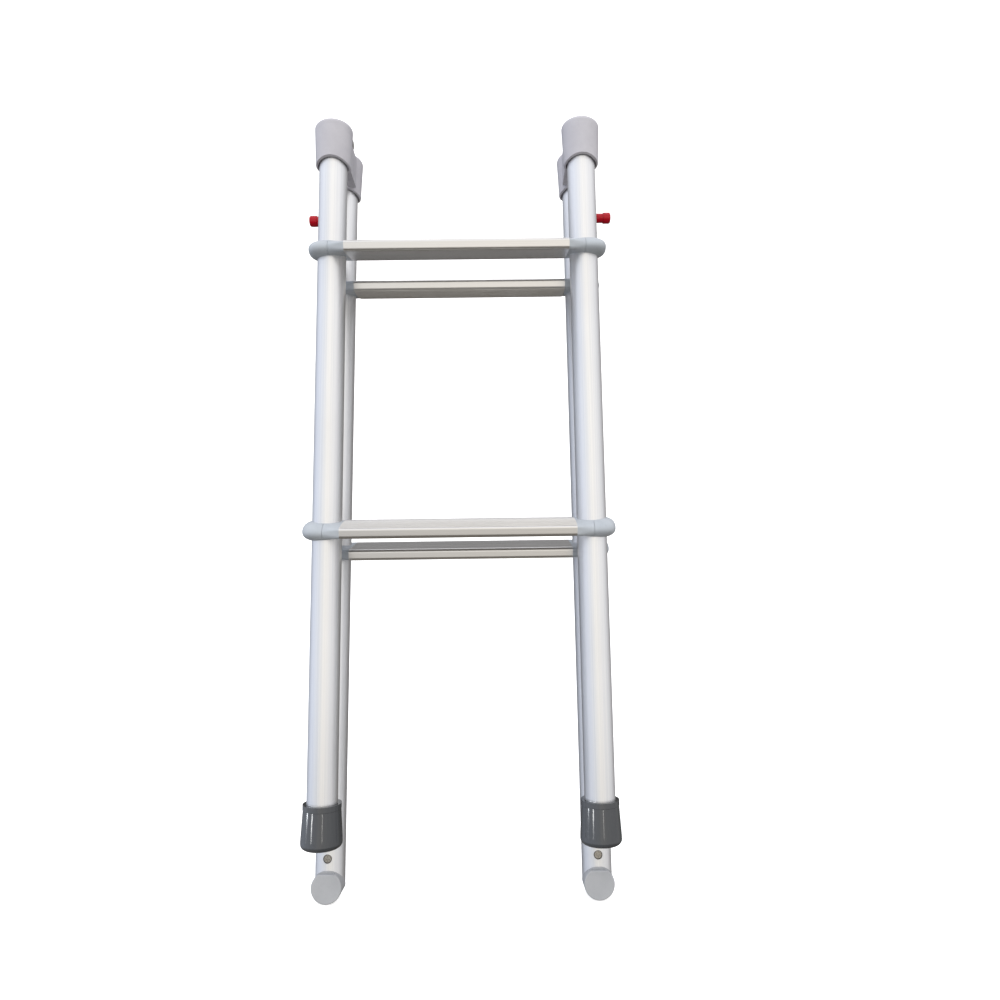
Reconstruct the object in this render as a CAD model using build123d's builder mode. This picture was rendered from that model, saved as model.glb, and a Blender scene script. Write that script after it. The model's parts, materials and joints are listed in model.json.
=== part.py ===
from build123d import *

import os
from math import cos, radians, sin, sqrt, tan

os.makedirs("parts", exist_ok=True)

# Folding boarding ladder: two tubular sections with two treads each, hinged end to end.
# The model is folded: the upper section hangs down behind the lower one.
# Sections are drawn in the frame of the unfolded ladder, whose origin is on the hinge axis,
# with x across the ladder, y towards the boat and z up the stiles.

# ---------------------------------------------------------------- stiles and section layout
stile_spacing = 270.0
tube_diameter = 30.0
tube_wall = 1.5
hinge_offset = 30.35  # from the stile centres back to the hinge axis
hinge_height = 812.09  # of the hinge axis above the lowest point of the folded ladder
hinge_depth = 2.003  # of the hinge axis behind the middle of the folded ladder
rest_lean = 1.43  # degrees that the folded section leans in, past parallel
lower_tread_levels = {"low": -443.5, "high": -143.5}
upper_tread_levels = {"low": 161.0, "high": 461.0}

# ---------------------------------------------------------------- treads and their collars
tread_width = 54.0
tread_edge_height = 10.5
tread_crown = 3.0
tread_top_radius = 2.4
tread_bottom_radius = 3.4
tread_wall = 1.8
tread_tilt = 15.0  # degrees, front edge low
rib_radius = 0.6
rib_pitch = 3.0
rib_count = 17
collar_half_depth = 24.0
collar_half_height = 10.8
collar_fullness = 2.8  # 2 is an ellipse, more is squarer
collar_stations = (0.0, 0.35, 0.6, 0.78, 0.9, 0.97)  # parts of the outer width
collar_inner_width = 17.5  # from the stile centre to the tread's end
collar_outer_width = 23.6  # from the stile centre to the rounded end
collar_seam = 0.3
spigot_length = 32.0
fit_play = 0.15
tube_fit = 0.05
collar_screw_radius = 2.0
collar_screw_head_radius = 3.6
collar_screw_head_height = 2.4
collar_screw_recess = 5.0
collar_screw_key_depth = 1.3
collar_screw_reach = 25.6  # into a tread's spigot

# ---------------------------------------------------------------- hinge caps
cap_height = 47.5
cap_top_radius = 20.6
cap_low_radius = 18.6
cap_top_round = 5.0
cap_rim_round = 1.5
cap_rim_cut = 16.0
cap_rim_span = 30.0
cap_rim_arch = 4.5  # rise of the rim at the front and the back
cap_socket_depth = 41.5
cap_rim_recess_radius = 16.3
cap_rim_recess_depth = 8.0
cap_gap = 0.15  # from the cap's top to the hinge axis plane
ear_width = 32.0
ear_top = -8.0
ear_low = -43.0
ear_relief = 0.9  # degrees
ear_gap = 0.15
knuckle_width = 26.0
knuckle_radius = 7.0
knuckle_clearance = 0.4
middle_knuckle_width = 10.4
knuckle_side_play = 0.3
hinge_pin_radius = 3.0
hinge_pin_play = 0.06
hinge_pin_head_radius = 4.8
hinge_pin_head_height = 2.0
rivet_radius = 2.0
rivet_head_radius = 3.6
rivet_head_height = 1.4
rivet_level = -28.0
rivet_sink = 1.7  # of the head under the cap's surface
rivet_seat_gap = 0.05

# ---------------------------------------------------------------- boots and elbow feet
boot_sole_level = -750.5
boot_height = 41.0
boot_rim_radius = 18.3
boot_lip_radius = 18.6
boot_lip_height = 5.0
boot_low_radius = 20.2
boot_corner_radius = 5.0
boot_floor = 5.0
boot_taper = 0.2  # of the wall's lower part
boot_taper_height = 9.0
boot_lip_step = 0.3
foot_level = 796.0
foot_reach = 19.5
foot_radius = 15.2
foot_flat = 12.5  # from the foot's axis to its flat on the hinge side
foot_corner_radius = 4.0
foot_edge = 1.2
foot_shank_radius = 13.4
foot_shank_length = 45.0
foot_screw_distance = 26.0
foot_screw_radius = 1.9
foot_screw_hole_radius = 4.35
foot_screw_seat_gap = 0.05
foot_screw_length = 13.0
foot_screw_head_radius = 3.6
foot_screw_head_height = 0.8
foot_screw_recess_width = 1.2
foot_screw_recess_length = 4.6
foot_screw_recess_depth = 0.6

# ---------------------------------------------------------------- sliding lock bolts
knob_level = 76.0
bolt_travel = 18.0
bolt_radius = 13.2
bolt_bore_radius = 9.5
bolt_near_level = 2.0
bolt_far_level = 98.0
bolt_chamfer = 1.5
slot_width = 7.0
stud_radius = 2.9
stud_inner_reach = 9.0
stud_outer_reach = 32.0
washer_radius = 8.0
washer_thickness = 1.2
washer_play = 0.3
knob_shank_radius = 5.25
knob_head_radius = 6.2
knob_step_reach = 31.6
knob_end_reach = 40.0
knob_edge = 2.2

# ---------------------------------------------------------------- frames of the two sections
stile_reach = stile_spacing / 2
tube_radius = tube_diameter / 2
tube_bore_radius = tube_radius - tube_wall
tread_reach = stile_reach - collar_inner_width
hinge_origin = (0, hinge_depth, hinge_height)
lean = radians(rest_lean)
lower_section = Plane(origin=hinge_origin)
upper_section = Plane(origin=hinge_origin, x_dir=(1, 0, 0), z_dir=(0, -sin(lean), -cos(lean)))
sections = {"lower": lower_section, "upper": upper_section}
tread_levels = {"lower": lower_tread_levels, "upper": upper_tread_levels}
sides = {"left": -1, "right": 1}


def save(name, part):
    part.label = name
    export_step(part, f"parts/{name}.step")


def across(section, side, level):
    """Plane across a stile, centred on it, with its normal up the unfolded ladder."""
    origin = section.from_local_coords(Vector(side * stile_reach, -hinge_offset, level))
    return Plane(origin=origin, x_dir=section.x_dir, z_dir=section.z_dir)


def outwards(section, side, level, reach=0.0, tilt=0.0):
    """Plane facing out of the ladder's side at a stile, with its y axis up the ladder."""
    lateral = section.x_dir * side
    depth = (section.y_dir * cos(radians(tilt)) + section.z_dir * sin(radians(tilt))) * side
    origin = across(section, side, level).origin + lateral * reach
    return Plane(origin=origin, x_dir=depth, z_dir=lateral)


def cap_plane(section, side):
    """Plane of a hinge cap's top, its normal out of the cap and its y axis to the hinge."""
    rise = 1 if section is lower_section else -1
    top = across(section, side, -rise * cap_gap)
    return Plane(origin=top.origin, x_dir=section.x_dir * rise, z_dir=section.z_dir * rise)


def upright(plane):
    """Plane standing on another, for a profile that turns round its normal."""
    return Plane(origin=plane.origin, x_dir=plane.x_dir, z_dir=-plane.y_dir)


def sideways(plane, shift=0.0):
    """Plane whose normal is another's x axis, with x along its y axis and y along its normal."""
    return Plane(origin=plane.origin + plane.x_dir * shift, x_dir=plane.y_dir, z_dir=plane.x_dir)


def tread_outline():
    """Section of a tread: flat below, crowned above, with rounded corners."""
    half_width = tread_width / 2
    half_height = tread_edge_height / 2
    with BuildSketch() as outline:
        with BuildLine():
            crown = ((-half_width, half_height), (0, half_height + tread_crown), (half_width, half_height))
            ThreePointArc(*crown)
            Polyline(
                (half_width, half_height),
                (half_width, -half_height),
                (-half_width, -half_height),
                (-half_width, half_height),
            )
        make_face()
        fillet(outline.vertices().group_by(Axis.Y)[0], radius=tread_bottom_radius)
        fillet(outline.vertices().group_by(Axis.Y)[-1], radius=tread_top_radius)
    return outline.sketch


def crown_level(distance):
    """Height of the crowned tread surface at a distance from its middle."""
    radius = ((tread_width / 2) ** 2 + tread_crown**2) / (2 * tread_crown)
    return tread_edge_height / 2 + tread_crown - radius + sqrt(radius**2 - distance**2)


# ---------------------------------------------------------------- stiles
def lower_stile(side):
    cap_seat = -cap_gap - (cap_height - cap_socket_depth)
    boot_seat = boot_sole_level + boot_floor
    with BuildPart() as tube:
        with BuildSketch(across(lower_section, side, boot_seat)):
            Circle(tube_radius)
            Circle(tube_bore_radius, mode=Mode.SUBTRACT)
        extrude(amount=cap_seat - boot_seat)
        for level in lower_tread_levels.values():
            with BuildSketch(outwards(lower_section, side, level, -tube_diameter)):
                Circle(collar_screw_radius + fit_play)
            extrude(amount=2 * tube_diameter, mode=Mode.SUBTRACT)
        with BuildSketch(outwards(lower_section, side, rivet_level)):
            Circle(rivet_radius + fit_play)
        extrude(amount=tube_diameter, mode=Mode.SUBTRACT)
    return tube.part


def mitre_plane(side):
    """Plane at 45 degrees where an upper stile meets its elbow foot."""
    corner = across(upper_section, side, foot_level)
    return Plane(origin=corner.origin, x_dir=corner.x_dir, z_dir=corner.y_dir + corner.z_dir)


def upper_stile(side):
    cap_seat = cap_gap + (cap_height - cap_socket_depth)
    with BuildPart() as tube:
        with BuildSketch(across(upper_section, side, cap_seat)):
            Circle(tube_radius)
            Circle(tube_bore_radius, mode=Mode.SUBTRACT)
        extrude(amount=foot_level + tube_diameter - cap_seat)
        split(bisect_by=mitre_plane(side), keep=Keep.BOTTOM)
        for level in upper_tread_levels.values():
            with BuildSketch(outwards(upper_section, side, level, -tube_diameter)):
                Circle(collar_screw_radius + fit_play)
            extrude(amount=2 * tube_diameter, mode=Mode.SUBTRACT)
        with BuildSketch(outwards(upper_section, side, knob_level - bolt_travel / 2)):
            SlotCenterToCenter(bolt_travel, slot_width, rotation=90)
        extrude(amount=tube_diameter, mode=Mode.SUBTRACT)
        with BuildSketch(outwards(upper_section, side, -rivet_level)):
            Circle(rivet_radius + fit_play)
        extrude(amount=tube_diameter, mode=Mode.SUBTRACT)
        screw_seat = across(upper_section, side, foot_level - foot_screw_distance)
        with BuildSketch(Plane(origin=screw_seat.origin, z_dir=screw_seat.y_dir)):
            Circle(foot_screw_hole_radius)
        extrude(amount=tube_diameter, mode=Mode.SUBTRACT)
    return tube.part


# ---------------------------------------------------------------- treads and collars
def tread(section, level):
    """Hollow extruded step with anti-slip ribs along its crown."""
    end = outwards(section, 1, level, -tread_reach - stile_reach, tread_tilt)
    with BuildPart() as step:
        with BuildSketch(end):
            add(tread_outline())
            for index in range(rib_count):
                rib_place = (index - (rib_count - 1) / 2) * rib_pitch
                with Locations((rib_place, crown_level(rib_place))):
                    Circle(rib_radius)
            offset(tread_outline(), amount=-tread_wall, mode=Mode.SUBTRACT)
        extrude(amount=2 * tread_reach)
    return step.part


def stile_passage(section, side, level):
    """Cutter for the stile's way through a collar."""
    with BuildPart() as passage:
        with BuildSketch(across(section, side, level - tread_width)):
            Circle(tube_radius + tube_fit)
        extrude(amount=2 * tread_width)
    return passage.part


def inner_socket(section, side, level):
    """Collar half that narrows from the stile to the tread, with a spigot in the tread's end."""
    face = outwards(section, side, level, -collar_seam / 2, tread_tilt)
    end = face.offset(collar_seam / 2 - collar_inner_width)
    passage = stile_passage(section, side, level)
    with BuildPart() as socket:
        with BuildSketch(face):
            Ellipse(collar_half_depth, collar_half_height)
        with BuildSketch(end):
            add(tread_outline())
        loft()
        with BuildSketch(end):
            offset(tread_outline(), amount=-tread_wall - fit_play)
        extrude(amount=-spigot_length)
        add(passage, mode=Mode.SUBTRACT)
        with BuildSketch(face):
            Circle(collar_screw_radius + fit_play)
        extrude(amount=-collar_inner_width - spigot_length, mode=Mode.SUBTRACT)
    return socket.part


def collar_ball():
    """Rounded body of the outer collar halves, along z."""
    with BuildPart() as ball:
        for station in collar_stations:
            fullness = (1 - station**collar_fullness) ** (1 / collar_fullness)
            with BuildSketch(Plane.XY.offset(station * collar_outer_width)):
                Ellipse(collar_half_depth * fullness, collar_half_height * fullness)
        loft()
    return ball.part


def outer_cap(section, side, level):
    """Rounded collar half on the outside, with a recess for the screw's head."""
    face = outwards(section, side, level, 0, tread_tilt)
    nose = face.offset(collar_outer_width)
    ball = collar_ball().moved(face.location)
    passage = stile_passage(section, side, level)
    with BuildPart() as cap:
        add(ball)
        split(bisect_by=face.offset(collar_seam / 2), keep=Keep.TOP)
        add(passage, mode=Mode.SUBTRACT)
        with BuildSketch(nose):
            Circle(collar_screw_radius + fit_play)
        extrude(amount=-collar_outer_width, mode=Mode.SUBTRACT)
        with BuildSketch(nose):
            Circle(collar_screw_head_radius + fit_play)
        extrude(amount=-collar_screw_recess, mode=Mode.SUBTRACT)
    return cap.part


def collar_screws(section, levels):
    """Screws that clamp each pair of collar halves through the stile."""
    head_reach = collar_outer_width - collar_screw_recess
    with BuildPart() as screws:
        for side in sides.values():
            for level in levels.values():
                seat = outwards(section, side, level, head_reach)
                with BuildSketch(seat):
                    Circle(collar_screw_radius)
                extrude(amount=-head_reach - collar_inner_width - collar_screw_reach)
                with BuildSketch(seat):
                    Circle(collar_screw_head_radius)
                extrude(amount=collar_screw_head_height)
                with BuildSketch(seat.offset(collar_screw_head_height)):
                    RegularPolygon(radius=collar_screw_radius, side_count=6)
                extrude(amount=-collar_screw_key_depth, mode=Mode.SUBTRACT)
    return screws.part


# ---------------------------------------------------------------- hinge
def rivet_seat(section, side, gap=0.0):
    """Plane under a rivet's head, sunk in the outer side of a hinge cap."""
    level = rivet_level if section is lower_section else -rivet_level
    cap_taper = (cap_low_radius - cap_top_radius) / cap_height
    reach = cap_top_radius - rivet_level * cap_taper - rivet_sink + gap
    return outwards(section, side, level, reach)


def hinge_cap(section, side):
    """Moulded cap on a stile's hinge end, with an ear that carries its hinge knuckles."""
    top = cap_plane(section, side)
    profile = upright(top)
    hinge_point = (hinge_offset, cap_gap)
    ear_face = hinge_offset - ear_gap
    ear_slant = tan(radians(ear_relief))
    is_lower = section is lower_section
    with BuildPart() as cap:
        with BuildSketch(profile) as outline:
            with BuildLine():
                Polyline(
                    (tube_bore_radius, 0),
                    (cap_top_radius, 0),
                    (cap_low_radius, -cap_height),
                    (tube_bore_radius, -cap_height),
                    close=True,
                )
            make_face()
            fillet(outline.vertices().sort_by(Axis.X)[-2], radius=cap_rim_round)
            fillet(outline.vertices().sort_by(Axis.X)[-1], radius=cap_top_round)
        revolve(axis=Axis(top.origin, top.z_dir))
        rim_radius = (cap_low_radius**2 + cap_rim_arch**2) / (2 * cap_rim_arch)
        with BuildSketch(sideways(top)):
            with Locations((0, -cap_height)):
                Rectangle(2 * cap_rim_span, cap_rim_cut)
            with Locations((0, rim_radius - cap_height)):
                Circle(rim_radius, mode=Mode.SUBTRACT)
        extrude(amount=cap_top_radius, both=True, mode=Mode.SUBTRACT)
        with BuildSketch(sideways(top, -ear_width / 2)):
            Polygon(
                (tube_radius, ear_low),
                (ear_face + ear_low * ear_slant, ear_low),
                (ear_face + ear_top * ear_slant, ear_top),
                (tube_radius, ear_top),
                align=None,
            )
        extrude(amount=ear_width)
        with BuildSketch(sideways(top, -knuckle_width / 2)):
            Polygon(
                (tube_radius, ear_top),
                (ear_face + ear_top * ear_slant, ear_top),
                (ear_face, -ear_gap),
                (tube_radius, -ear_gap),
                align=None,
            )
        extrude(amount=knuckle_width)
        if is_lower:
            knuckle_starts = (-knuckle_width / 2, middle_knuckle_width / 2 + knuckle_side_play)
            own_width = (knuckle_width - middle_knuckle_width) / 2 - knuckle_side_play
            gap_starts = (-middle_knuckle_width / 2 - knuckle_side_play,)
            gap_width = middle_knuckle_width + 2 * knuckle_side_play
            pin_hole_radius = hinge_pin_radius
        else:
            knuckle_starts = (-middle_knuckle_width / 2,)
            own_width = middle_knuckle_width
            gap_starts = (-knuckle_width / 2 - knuckle_side_play, middle_knuckle_width / 2)
            gap_width = (knuckle_width - middle_knuckle_width) / 2 + knuckle_side_play
            pin_hole_radius = hinge_pin_radius + hinge_pin_play
        for start in gap_starts:
            with BuildSketch(sideways(top, start)):
                with Locations(hinge_point):
                    Circle(knuckle_radius + knuckle_clearance)
            extrude(amount=gap_width, mode=Mode.SUBTRACT)
        for start in knuckle_starts:
            with BuildSketch(sideways(top, start)):
                with Locations(hinge_point):
                    Circle(knuckle_radius)
            extrude(amount=own_width)
        with BuildSketch(sideways(top, -ear_width / 2)):
            with Locations(hinge_point):
                Circle(pin_hole_radius)
        extrude(amount=ear_width, mode=Mode.SUBTRACT)
        with BuildSketch(top):
            Circle(tube_bore_radius + fit_play)
        extrude(amount=-cap_height, mode=Mode.SUBTRACT)
        with BuildSketch(top.offset(-cap_height)):
            Circle(tube_radius + tube_fit)
        extrude(amount=cap_socket_depth, mode=Mode.SUBTRACT)
        with BuildSketch(top.offset(-cap_height)):
            Circle(cap_rim_recess_radius)
        extrude(amount=cap_rim_recess_depth, mode=Mode.SUBTRACT)
        with BuildSketch(outwards(section, side, rivet_level if is_lower else -rivet_level)):
            Circle(rivet_radius + fit_play)
        extrude(amount=tube_diameter, mode=Mode.SUBTRACT)
        with BuildSketch(rivet_seat(section, side)):
            Circle(rivet_head_radius + fit_play)
        extrude(amount=tube_diameter, mode=Mode.SUBTRACT)
    return cap.part


def hinge_pins():
    """Pins fixed in the lower section's knuckles, with a formed head at each end."""
    with BuildPart() as pins:
        for side in sides.values():
            start = Plane(
                origin=lower_section.from_local_coords(Vector(side * stile_reach - knuckle_width / 2, 0, 0)),
                x_dir=(0, 1, 0),
                z_dir=(1, 0, 0),
            )
            with BuildSketch(start):
                Circle(hinge_pin_radius)
            extrude(amount=knuckle_width)
            for head in (start.offset(-hinge_pin_head_height), start.offset(knuckle_width)):
                with BuildSketch(head):
                    Circle(hinge_pin_head_radius)
                extrude(amount=hinge_pin_head_height)
    return pins.part


def cap_rivets(section):
    """Rivets that hold the hinge caps on their stiles, sunk in the outer sides."""
    with BuildPart() as rivets:
        for side in sides.values():
            head = rivet_seat(section, side, rivet_seat_gap)
            shank_length = head.origin.X * side - stile_reach - tube_bore_radius
            with BuildSketch(head):
                Circle(rivet_head_radius)
            extrude(amount=rivet_head_height)
            with BuildSketch(head):
                Circle(rivet_radius)
            extrude(amount=-shank_length)
    return rivets.part


# ---------------------------------------------------------------- boots and feet
def boot(side):
    """Rubber ferrule on the foot of a lower stile."""
    sole = across(lower_section, side, boot_sole_level)
    with BuildPart() as ferrule:
        with BuildSketch(upright(sole)) as outline:
            with BuildLine():
                Polyline(
                    (0, 0),
                    (boot_low_radius, 0),
                    (boot_low_radius - boot_taper, boot_taper_height),
                    (boot_rim_radius, boot_height - boot_lip_height - boot_lip_step),
                    (boot_lip_radius, boot_height - boot_lip_height),
                    (boot_lip_radius, boot_height),
                    (tube_radius + tube_fit, boot_height),
                    (tube_radius + tube_fit, boot_floor),
                    (0, boot_floor),
                    close=True,
                )
            make_face()
            fillet(outline.vertices().sort_by(Axis.X)[-1], radius=boot_corner_radius)
        revolve(axis=Axis(sole.origin, sole.z_dir))
    return ferrule.part


def elbow_shank(side):
    """Shank of an elbow foot, inside the mitred end of the stile."""
    corner = across(upper_section, side, foot_level)
    with BuildPart() as shank:
        with BuildSketch(corner.offset(-foot_shank_length)):
            Circle(foot_shank_radius)
        extrude(amount=foot_shank_length + tube_radius)
        split(bisect_by=mitre_plane(side), keep=Keep.BOTTOM)
    return shank.part


def elbow_foot(side):
    """Plug in the mitred end of an upper stile, turning to a pad that faces the boat."""
    corner = across(upper_section, side, foot_level)
    pad = Plane(origin=corner.origin, x_dir=corner.x_dir, z_dir=corner.y_dir)
    screw_seat = across(upper_section, side, foot_level - foot_screw_distance)
    with BuildPart() as foot:
        with BuildSketch(pad.offset(tube_radius)):
            Circle(foot_radius)
        extrude(amount=-tube_radius - tube_diameter)
        split(bisect_by=mitre_plane(side), keep=Keep.TOP)
        with BuildSketch(pad.offset(tube_radius)) as pad_outline:
            Circle(foot_radius)
            with Locations((0, foot_flat + foot_radius)):
                Rectangle(2 * foot_radius, 2 * foot_radius, mode=Mode.SUBTRACT)
            fillet(pad_outline.vertices(), radius=foot_corner_radius)
        extrude(amount=foot_reach - tube_radius)
        face = foot.faces().sort_by(Axis(pad.origin, pad.z_dir))[-1]
        fillet(face.edges(), radius=foot_edge)
        add(elbow_shank(side))
        with BuildSketch(Plane(origin=screw_seat.origin, z_dir=screw_seat.y_dir)):
            Circle(foot_screw_radius + tube_fit)
        extrude(amount=tube_diameter, mode=Mode.SUBTRACT)
    return foot.part


def foot_screws():
    """Cross-recess screws that hold the elbow feet in the upper stiles, sunk in the tube wall."""
    with BuildPart() as screws:
        for side in sides.values():
            seat = across(upper_section, side, foot_level - foot_screw_distance)
            facing = Plane(origin=seat.origin, x_dir=seat.x_dir, z_dir=seat.y_dir)
            head = facing.offset(foot_shank_radius + foot_screw_seat_gap)
            with BuildSketch(head):
                Circle(foot_screw_radius)
            extrude(amount=-foot_screw_length)
            with BuildSketch(head):
                Circle(foot_screw_head_radius)
            extrude(amount=foot_screw_head_height)
            with BuildSketch(head.offset(foot_screw_head_height)):
                Rectangle(foot_screw_recess_length, foot_screw_recess_width)
                Rectangle(foot_screw_recess_width, foot_screw_recess_length)
            extrude(amount=-foot_screw_recess_depth, mode=Mode.SUBTRACT)
    return screws.part


# ---------------------------------------------------------------- sliding locks
def lock_bolt(side):
    """Coupling tube that slides in an upper stile and bridges the closed hinge joint."""
    start = across(upper_section, side, bolt_near_level)
    with BuildPart() as bolt:
        with BuildSketch(start):
            Circle(bolt_radius)
        extrude(amount=bolt_far_level - bolt_near_level)
        ends = bolt.edges().filter_by(GeomType.CIRCLE)
        chamfer(ends, length=bolt_chamfer)
        with BuildSketch(start):
            Circle(bolt_bore_radius)
        extrude(amount=bolt_far_level - bolt_near_level, mode=Mode.SUBTRACT)
        with BuildSketch(outwards(upper_section, side, knob_level)):
            Circle(stud_radius + tube_fit)
        extrude(amount=bolt_radius, mode=Mode.SUBTRACT)
    return bolt.part


def knob_stud(side):
    """Stud from the lock bolt out through the stile's slot into the knob."""
    with BuildPart() as stud:
        with BuildSketch(outwards(upper_section, side, knob_level, stud_inner_reach)):
            Circle(stud_radius)
        extrude(amount=stud_outer_reach - stud_inner_reach)
    return stud.part


def knob_washer(side):
    """Washer between the knob and the stile."""
    with BuildPart() as washer:
        with BuildSketch(outwards(upper_section, side, knob_level, tube_radius + washer_play)):
            Circle(washer_radius)
            Circle(stud_radius + tube_fit, mode=Mode.SUBTRACT)
        extrude(amount=washer_thickness)
    return washer.part


def knob(side):
    """Pull knob of the lock bolt, stepped up to a wider head at its end."""
    near_reach = tube_radius + washer_play + washer_thickness
    with BuildPart() as handle:
        with BuildSketch(outwards(upper_section, side, knob_level, near_reach)):
            Circle(knob_shank_radius)
        extrude(amount=knob_end_reach - near_reach)
        with BuildSketch(outwards(upper_section, side, knob_level, knob_step_reach)):
            Circle(knob_head_radius)
        extrude(amount=knob_end_reach - knob_step_reach)
        outward = Axis(across(upper_section, side, knob_level).origin, upper_section.x_dir * side)
        fillet(handle.faces().sort_by(outward)[-1].edges(), radius=knob_edge)
        with BuildSketch(outwards(upper_section, side, knob_level, near_reach)):
            Circle(stud_radius + tube_fit)
        extrude(amount=stud_outer_reach - near_reach, mode=Mode.SUBTRACT)
    return handle.part


# ---------------------------------------------------------------- every piece, in its own file
for section_name, section in sections.items():
    for level_name, level in tread_levels[section_name].items():
        save(f"{section_name}_section_{level_name}_tread", tread(section, level))
        for side_name, side in sides.items():
            place = f"{section_name}_section_{level_name}_{side_name}"
            save(f"{place}_collar_socket", inner_socket(section, side, level))
            save(f"{place}_collar_cap", outer_cap(section, side, level))
    for side_name, side in sides.items():
        save(f"{section_name}_section_{side_name}_hinge_cap", hinge_cap(section, side))
    save(f"{section_name}_section_cap_rivets", cap_rivets(section))
    save(f"{section_name}_section_collar_screws", collar_screws(section, tread_levels[section_name]))

for side_name, side in sides.items():
    save(f"lower_section_{side_name}_stile", lower_stile(side))
    save(f"upper_section_{side_name}_stile", upper_stile(side))
    save(f"{side_name}_boot", boot(side))
    save(f"{side_name}_elbow_foot", elbow_foot(side))
    save(f"{side_name}_lock_bolt", lock_bolt(side))
    save(f"{side_name}_lock_knob", knob(side))
    save(f"{side_name}_lock_knob_stud", knob_stud(side))
    save(f"{side_name}_lock_knob_washer", knob_washer(side))

save("hinge_pins", hinge_pins())
save("elbow_foot_screws", foot_screws())
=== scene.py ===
import json
import math

import bmesh
import bpy
from mathutils import Matrix, Vector


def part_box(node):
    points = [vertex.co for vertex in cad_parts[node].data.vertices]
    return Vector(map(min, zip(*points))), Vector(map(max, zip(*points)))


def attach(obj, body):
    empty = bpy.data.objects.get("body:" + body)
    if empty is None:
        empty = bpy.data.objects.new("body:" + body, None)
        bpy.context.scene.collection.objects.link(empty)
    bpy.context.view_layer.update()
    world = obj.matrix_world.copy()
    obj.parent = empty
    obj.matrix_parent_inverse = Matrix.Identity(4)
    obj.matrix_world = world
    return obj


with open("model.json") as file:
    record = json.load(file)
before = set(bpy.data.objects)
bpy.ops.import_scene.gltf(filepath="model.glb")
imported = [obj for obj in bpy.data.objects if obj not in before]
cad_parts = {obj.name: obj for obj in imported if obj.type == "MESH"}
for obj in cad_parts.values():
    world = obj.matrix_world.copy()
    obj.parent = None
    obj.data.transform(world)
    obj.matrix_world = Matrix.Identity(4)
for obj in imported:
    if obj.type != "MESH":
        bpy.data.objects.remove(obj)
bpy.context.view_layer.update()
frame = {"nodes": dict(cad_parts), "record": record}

# ------------------------------------------------------------------ settings
camera_place = Vector((0.0376, -0.76964, 0.2987))
camera_elevation = 7.567  # degrees above level
camera_turn = 0.315  # degrees to the right
camera_roll = -0.78
camera_lens = 26.24
camera_sensor = 36.0
section_lean = 1.43  # degrees between the folded upper section and the lower one

# dark rings round the foot screws: painted shade for the recess round each screw head
shade_ring_reach = 0.135  # from the ladder's middle to each screw
shade_ring_radius = 0.00395
shade_ring_half_width = 0.00033
shade_ring_half_height = 0.0004
shade_ring_depth = 0.0004  # behind the screw heads' faces
shade_ring_steps = 48
shade_ring_section_steps = 10

room_floor_radius = 6.0
room_cove_radius = 1.4
room_height = 20.0
room_cove_steps = 24
room_turn_steps = 128

world_strength = 1.40
key_power = 28
key_distance = 3.0
strip_distance = 2.6
strip_height = 0.215
strip_length = 1.17
gloss_lights = (  # name, azimuth, width, power, tint
    ("strip_far_left", -81, 0.34, 30, (0.92, 0.96, 1.0)),
    ("strip_left", -47, 0.22, 18, (1.0, 1.0, 1.0)),
    ("strip_front", 12, 0.08, 3, (1.0, 0.97, 0.92)),
)
room_stops = (  # degrees round from the front, positive to the right, and the light's colour there
    (-180, (0.055, 0.050, 0.044)),
    (-150, (0.07, 0.07, 0.07)),
    (-122, (0.34, 0.37, 0.43)),
    (-98, (0.60, 0.65, 0.76)),
    (-60, (0.68, 0.72, 0.80)),
    (-18, (0.70, 0.71, 0.72)),
    (-6, (0.92, 0.89, 0.83)),
    (8, (0.92, 0.88, 0.81)),
    (30, (0.80, 0.79, 0.77)),
    (72, (0.72, 0.72, 0.73)),
    (104, (0.52, 0.52, 0.53)),
    (132, (0.14, 0.14, 0.135)),
    (180, (0.055, 0.050, 0.044)),
)
floor_light = (0.13, 0.12, 0.105)
overhead_light = (0.95, 0.96, 1.0)

slot_of = {part["node"]: part["material_slot"] for part in frame["record"]["subparts"]}


# ------------------------------------------------------------------ camera and stage
def add_camera():
    data = bpy.data.cameras.new("camera")
    data.lens = camera_lens
    data.sensor_width = camera_sensor
    camera = bpy.data.objects.new("camera", data)
    bpy.context.scene.collection.objects.link(camera)
    turn = Matrix.Rotation(math.radians(-camera_turn), 4, "Z")
    tilt = Matrix.Rotation(math.radians(90 + camera_elevation), 4, "X")
    roll = Matrix.Rotation(math.radians(camera_roll), 4, "Z")
    camera.matrix_world = Matrix.Translation(camera_place) @ turn @ tilt @ roll
    bpy.context.scene.camera = camera


def add_room():
    """Pale studio floor that curves up into a backdrop on every side."""
    profile = []
    for step in range(room_cove_steps + 1):
        angle = math.pi / 2 * step / room_cove_steps
        reach = room_floor_radius + room_cove_radius * math.sin(angle)
        profile.append((reach, room_cove_radius * (1 - math.cos(angle))))
    profile.append((room_floor_radius + room_cove_radius, room_height))
    mesh = bpy.data.meshes.new("room")
    shape = bmesh.new()
    turns = [2 * math.pi * step / room_turn_steps for step in range(room_turn_steps)]
    rings = []
    for reach, height in profile:
        spots = [(reach * math.cos(turn), reach * math.sin(turn), height) for turn in turns]
        rings.append([shape.verts.new(spot) for spot in spots])
    shape.faces.new(rings[0])
    for low, high in zip(rings, rings[1:]):
        for index in range(room_turn_steps):
            after = (index + 1) % room_turn_steps
            shape.faces.new((low[index], low[after], high[after], high[index]))
    bmesh.ops.recalc_face_normals(shape, faces=shape.faces)
    shape.to_mesh(mesh)
    shape.free()
    mesh.shade_smooth()
    room = bpy.data.objects.new("room", mesh)
    bpy.context.scene.collection.objects.link(room)
    room.visible_glossy = False
    room.visible_diffuse = False
    room.visible_shadow = False
    room.data.materials.append(paper_material())


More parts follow.
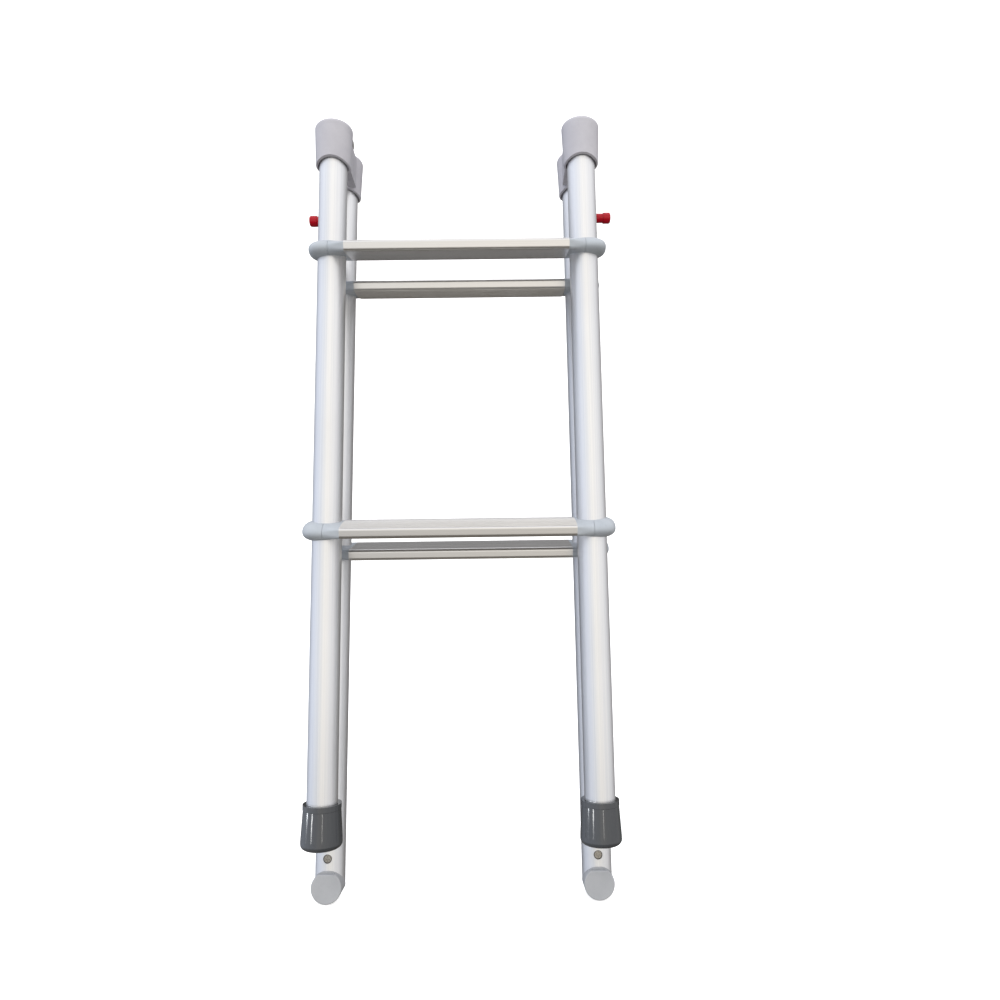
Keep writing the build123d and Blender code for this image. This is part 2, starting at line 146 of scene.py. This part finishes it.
def add_strip(name, azimuth, height, length, width, power, tint, distance):
    """Soft rectangular light aimed at the ladder, an angle round to the right of the front."""
    data = bpy.data.lights.new(name, "AREA")
    data.shape = "RECTANGLE"
    data.size = width
    data.size_y = length
    data.energy = power
    data.color = tint
    light = bpy.data.objects.new(name, data)
    angle = math.radians(azimuth)
    place = Vector((math.sin(angle) * distance, -math.cos(angle) * distance, height))
    aim = Vector((0, 0, min(height, 0.5))) - place
    facing = aim.to_track_quat("-Z", "Y").to_matrix().to_4x4()
    light.matrix_world = Matrix.Translation(place) @ facing
    bpy.context.scene.collection.objects.link(light)
    return light


def gloss_group():
    """The boots, whose gloss comes from narrow lights that reach nothing else."""
    group = bpy.data.collections.new("glossy_pieces")
    for node, piece in frame["nodes"].items():
        if slot_of[node] == "boot_rubber":
            group.objects.link(piece)
    return group


def add_lights():
    key = add_strip("key", -8, 2.4, 1.6, 1.8, key_power, (1.0, 0.99, 0.97), key_distance)
    key.visible_glossy = False
    group = gloss_group()
    for name, azimuth, width, power, tint in gloss_lights:
        strip = add_strip(
            name, azimuth, strip_height, strip_length, width, power, tint, strip_distance
        )
        strip.light_linking.receiver_collection = group


# ------------------------------------------------------------------ node helpers
def ramp_node(tree, value, stops):
    """Colour that runs through the stops as the value goes from 0 to 1."""
    node = tree.nodes.new("ShaderNodeValToRGB")
    elements = node.color_ramp.elements
    elements[0].position, elements[0].color = stops[0][0], (*stops[0][1], 1)
    elements[1].position, elements[1].color = stops[-1][0], (*stops[-1][1], 1)
    for position, color in stops[1:-1]:
        elements.new(position).color = (*color, 1)
    tree.links.new(value, node.inputs["Fac"])
    return node.outputs["Color"]


def mix_node(tree, factor, first, second):
    """Blend of two colours; each is a socket or a plain colour."""
    node = tree.nodes.new("ShaderNodeMix")
    node.data_type = "RGBA"
    sockets = {socket.identifier: socket for socket in node.inputs}
    tree.links.new(factor, sockets["Factor_Float"])
    for key, source in (("A_Color", first), ("B_Color", second)):
        if isinstance(source, bpy.types.NodeSocket):
            tree.links.new(source, sockets[key])
        else:
            sockets[key].default_value = (*source, 1)
    return {socket.identifier: socket for socket in node.outputs}["Result_Color"]


class Shade:
    """Short way to write a principled material with procedural detail."""

    def __init__(self, name):
        self.material = bpy.data.materials.new(name)
        self.material.use_nodes = True
        self.tree = self.material.node_tree
        self.nodes = self.tree.nodes
        self.links = self.tree.links
        self.shader = self.nodes["Principled BSDF"]
        self.place = self.nodes.new("ShaderNodeTexCoord").outputs["Object"]
        self.height = None

    def stretched(self, scale, lean=0.0):
        """Turns the coordinates upright first, then scales them."""
        vector = self.place
        for name, value in (("Rotation", (math.radians(lean), 0, 0)), ("Scale", scale)):
            mapping = self.nodes.new("ShaderNodeMapping")
            mapping.inputs[name].default_value = value
            self.links.new(vector, mapping.inputs["Vector"])
            vector = mapping.outputs["Vector"]
        return vector

    def noise(self, vector, scale, detail=3.0, roughness=0.55):
        node = self.nodes.new("ShaderNodeTexNoise")
        node.inputs["Scale"].default_value = scale
        node.inputs["Detail"].default_value = detail
        node.inputs["Roughness"].default_value = roughness
        self.links.new(vector, node.inputs["Vector"])
        return node.outputs["Fac"]

    def span(self, value, low, high, start=0.3, end=0.7):
        node = self.nodes.new("ShaderNodeMapRange")
        ends = (("From Min", start), ("From Max", end), ("To Min", low), ("To Max", high))
        for name, number in ends:
            node.inputs[name].default_value = number
        self.links.new(value, node.inputs["Value"])
        return node.outputs["Result"]

    def bump(self, height, strength, distance):
        node = self.nodes.new("ShaderNodeBump")
        node.inputs["Strength"].default_value = strength
        node.inputs["Distance"].default_value = distance
        self.links.new(height, node.inputs["Height"])
        if self.height is not None:
            self.links.new(self.height, node.inputs["Normal"])
        self.height = node.outputs["Normal"]
        self.links.new(self.height, self.shader.inputs["Normal"])

    def link(self, name, value):
        self.links.new(value, self.shader.inputs[name])

    def set(self, **values):
        for name, value in values.items():
            self.shader.inputs[name.replace("_", " ")].default_value = value


# ------------------------------------------------------------------ materials
def paper_material():
    shade = Shade("studio_paper")
    grain = shade.noise(shade.place, 60, 4)
    tones = ((0.3, (0.84, 0.84, 0.84)), (0.7, (0.88, 0.88, 0.88)))
    shade.link("Base Color", ramp_node(shade.tree, grain, tones))
    shade.set(Roughness=0.9, Emission_Color=(1, 1, 1, 1), Emission_Strength=0.70)
    return shade.material


def aluminium(name, line_scale, roughness, lean=0.0, painted_shade_tone=(1.0, 1.0, 1.0)):
    """Anodised extrusion with fine drawn lines, faint handling marks and a satin grain."""
    shade = Shade(name)
    along = shade.stretched(line_scale, lean)
    drawn = shade.noise(along, 1.0, 5, 0.7)
    cloud = shade.noise(shade.place, 9, 3)
    plain = ((0.25, (0.70, 0.71, 0.73)), (0.5, (0.80, 0.80, 0.81)), (0.8, (0.87, 0.87, 0.87)))
    # a tone below white darkens the colours: painted shade for the darker surroundings that the
    # treads reflect
    painted_shade_stops = [(at, tuple(part * by for part, by in zip(color, painted_shade_tone))) for at, color in plain]
    tint = ramp_node(shade.tree, drawn, painted_shade_stops)
    worn = mix_node(shade.tree, shade.span(cloud, 0.0, 0.16, 0.45, 0.75), tint, (0.62, 0.61, 0.60))
    shade.link("Base Color", worn)
    shade.link("Roughness", shade.span(drawn, *roughness))
    shade.bump(drawn, 0.14, 0.00008)
    shade.bump(shade.noise(shade.place, 2600, 2), 0.05, 0.00003)
    shade.set(Metallic=1.0)
    return shade.material


def moulded(name, low, high, roughness, grain=1900, soiling=0.30, specular=0.5):
    """Moulded plastic: fine spark-eroded grain, slow mottling and a little soiling."""
    shade = Shade(name)
    mottle = shade.noise(shade.place, 38, 4)
    color = ramp_node(shade.tree, mottle, ((0.3, low), (0.7, high)))
    soil = shade.noise(shade.place, 210, 6, 0.7)
    dulled = tuple(0.72 * part for part in low)
    soiled = mix_node(shade.tree, shade.span(soil, 0.0, soiling, 0.56, 0.80), color, dulled)
    shade.link("Base Color", soiled)
    shade.link("Roughness", shade.span(soil, roughness - 0.05, roughness + 0.07))
    shade.bump(shade.noise(shade.place, grain, 2), 0.16, 0.00005)
    shade.bump(mottle, 0.10, 0.0003)
    shade.set(Specular_IOR_Level=specular)
    return shade.material


def rubber():
    """Glossy moulded rubber with flow marks down the wall and a film of dust."""
    shade = Shade("boot_rubber_gloss")
    flow = shade.noise(shade.stretched((420, 420, 16)), 1.0, 4)
    dust = shade.noise(shade.place, 320, 6, 0.75)
    tones = ((0.3, (0.042, 0.045, 0.050)), (0.7, (0.048, 0.051, 0.056)))
    color = ramp_node(shade.tree, flow, tones)
    film = shade.span(dust, 0.0, 0.14, 0.55, 0.85)
    shade.link("Base Color", mix_node(shade.tree, film, color, (0.13, 0.13, 0.13)))
    shade.link("Roughness", shade.span(dust, 0.055, 0.12))
    shade.bump(flow, 0.03, 0.0001)
    shade.set(IOR=1.52)
    return shade.material


def shade_ring_black():
    """Matt black, finely mottled: painted shade for the recesses round the foot screw heads."""
    shade = Shade("shade_ring_black")
    mottle = shade.noise(shade.place, 1400, 3)
    tones = ((0.3, (0.012, 0.011, 0.010)), (0.7, (0.026, 0.024, 0.022)))
    shade.link("Base Color", ramp_node(shade.tree, mottle, tones))
    shade.link("Roughness", shade.span(mottle, 0.45, 0.65))
    shade.bump(mottle, 0.1, 0.00004)
    return shade.material


def steel():
    """Stainless steel with a fine mottled grain and uneven polish; its colour is darkened as
    painted shade for the screw heads' recesses.
    """
    shade = Shade("stainless_turned")
    marks = shade.noise(shade.place, 1600, 3, 0.7)
    # dark tones: painted shade for the recess round the screw heads; the mottling between them is
    # the uneven polish
    tones = ((0.3, (0.16, 0.15, 0.13)), (0.7, (0.40, 0.38, 0.35)))
    shade.link("Base Color", ramp_node(shade.tree, marks, tones))
    shade.link("Roughness", shade.span(marks, 0.20, 0.38))
    shade.bump(marks, 0.20, 0.00006)
    shade.set(Metallic=1.0)
    return shade.material


def make_materials():
    upright = (1150, 1150, 2.6)  # drawn lines along z
    level = (2.6, 1150, 1150)  # drawn lines along x
    return {
        "lower_stile": aluminium("aluminium_lower_stiles", upright, (0.38, 0.47)),
        "upper_stile": aluminium("aluminium_upper_stiles", upright, (0.38, 0.47), section_lean),
        # the treads' darker, warmer tone is painted shade, standing in for the dark surroundings
        # they reflect
        "tread": aluminium("aluminium_treads", level, (0.26, 0.36), painted_shade_tone=(0.86, 0.845, 0.82)),
        "cap_plastic": moulded("cap_grain", (0.47, 0.46, 0.50), (0.53, 0.52, 0.56), 0.46),
        "foot_plastic": moulded("foot_grain", (0.40, 0.41, 0.43), (0.46, 0.47, 0.49), 0.48),
        "collar_plastic": moulded(
            "collar_grain", (0.41, 0.445, 0.485), (0.47, 0.505, 0.545), 0.40
        ),
        "bolt_plastic": moulded("bolt_grain", (0.52, 0.52, 0.50), (0.60, 0.60, 0.58), 0.42),
        "knob_plastic": moulded(
            "knob_gloss", (0.42, 0.0, 0.010), (0.52, 0.001, 0.014), 0.24, 900, 0.12, 0.3
        ),
        "boot_rubber": rubber(),
        "stainless_steel": steel(),
    }


def material_for(node, materials):
    slot = slot_of[node]
    if slot != "anodised_aluminium":
        return materials[slot]
    if node.endswith("_tread"):
        return materials["tread"]
    return materials["upper_stile" if node.startswith("upper") else "lower_stile"]


def dress_nodes(materials):
    for node, piece in frame["nodes"].items():
        material = material_for(node, materials)
        if not piece.material_slots:
            piece.data.materials.append(material)
        for slot in piece.material_slots:
            slot.material = material


# ------------------------------------------------------------------ painted shade round the screws
def add_screw_shade_rings():
    """Dark ring round each elbow foot screw, in the hole of the tube's wall: painted shade for the
    recess round the screw head.
    """
    black = shade_ring_black()
    low, high = (Vector(corner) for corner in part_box("elbow_foot_screws"))
    lean = Matrix.Rotation(math.radians(-section_lean), 4, "X")
    for name, side in (("left", -1), ("right", 1)):
        center = Vector((side * shade_ring_reach, low.y + shade_ring_depth, (low.z + high.z) / 2))
        shape = bmesh.new()
        rings = []
        for turn in range(shade_ring_steps):
            angle = 2 * math.pi * turn / shade_ring_steps
            ring = []
            for step in range(shade_ring_section_steps):
                around = 2 * math.pi * step / shade_ring_section_steps
                radius = shade_ring_radius + shade_ring_half_width * math.cos(around)
                depth = shade_ring_half_height * math.sin(around)
                spot = Vector((radius * math.cos(angle), depth, radius * math.sin(angle)))
                ring.append(shape.verts.new(center + lean @ spot))
            rings.append(ring)
        for first, second in zip(rings, rings[1:] + rings[:1]):
            for index in range(shade_ring_section_steps):
                after = (index + 1) % shade_ring_section_steps
                shape.faces.new((first[index], first[after], second[after], second[index]))
        bmesh.ops.recalc_face_normals(shape, faces=shape.faces)
        mesh = bpy.data.meshes.new(f"{name}_foot_screw_shade_ring")
        shape.to_mesh(mesh)
        shape.free()
        mesh.shade_smooth()
        shade_ring = bpy.data.objects.new(f"{name}_foot_screw_shade_ring", mesh)
        bpy.context.scene.collection.objects.link(shade_ring)
        shade_ring.data.materials.append(black)
        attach(shade_ring, "upper_section")


# ------------------------------------------------------------------ studio light
def add_world():
    """Soft room: cool on the left, a warm window in front, dim on the right and behind."""
    world = bpy.data.worlds.new("studio")
    bpy.context.scene.world = world
    world.use_nodes = True
    tree = world.node_tree
    place = tree.nodes.new("ShaderNodeTexCoord").outputs["Generated"]
    split = tree.nodes.new("ShaderNodeSeparateXYZ")
    tree.links.new(place, split.inputs[0])

    def math_node(kind, first, second):
        node = tree.nodes.new("ShaderNodeMath")
        node.operation = kind
        for socket, source in zip(node.inputs, (first, second)):
            if isinstance(source, bpy.types.NodeSocket):
                tree.links.new(source, socket)
            else:
                socket.default_value = source
        return node.outputs[0]

    front = math_node("MULTIPLY", split.outputs["Y"], -1.0)
    turn = math_node("ARCTAN2", split.outputs["X"], front)
    around = math_node("ADD", math_node("DIVIDE", turn, 2 * math.pi), 0.5)
    room = ramp_node(tree, around, [((angle + 180) / 360, color) for angle, color in room_stops])
    rise = math_node("ADD", math_node("MULTIPLY", split.outputs["Z"], 0.5), 0.5)
    above_floor = ramp_node(tree, rise, ((0.22, (0, 0, 0)), (0.34, (1, 1, 1))))
    overhead = ramp_node(tree, rise, ((0.72, (0, 0, 0)), (0.95, (1, 1, 1))))
    sides = mix_node(tree, above_floor, floor_light, room)
    background = tree.nodes["Background"]
    tree.links.new(mix_node(tree, overhead, sides, overhead_light), background.inputs["Color"])
    background.inputs["Strength"].default_value = world_strength


# ------------------------------------------------------------------ build
add_camera()
add_world()
add_room()
dress_nodes(make_materials())
add_lights()
add_screw_shade_rings()
bpy.context.scene.view_settings.view_transform = "Standard"
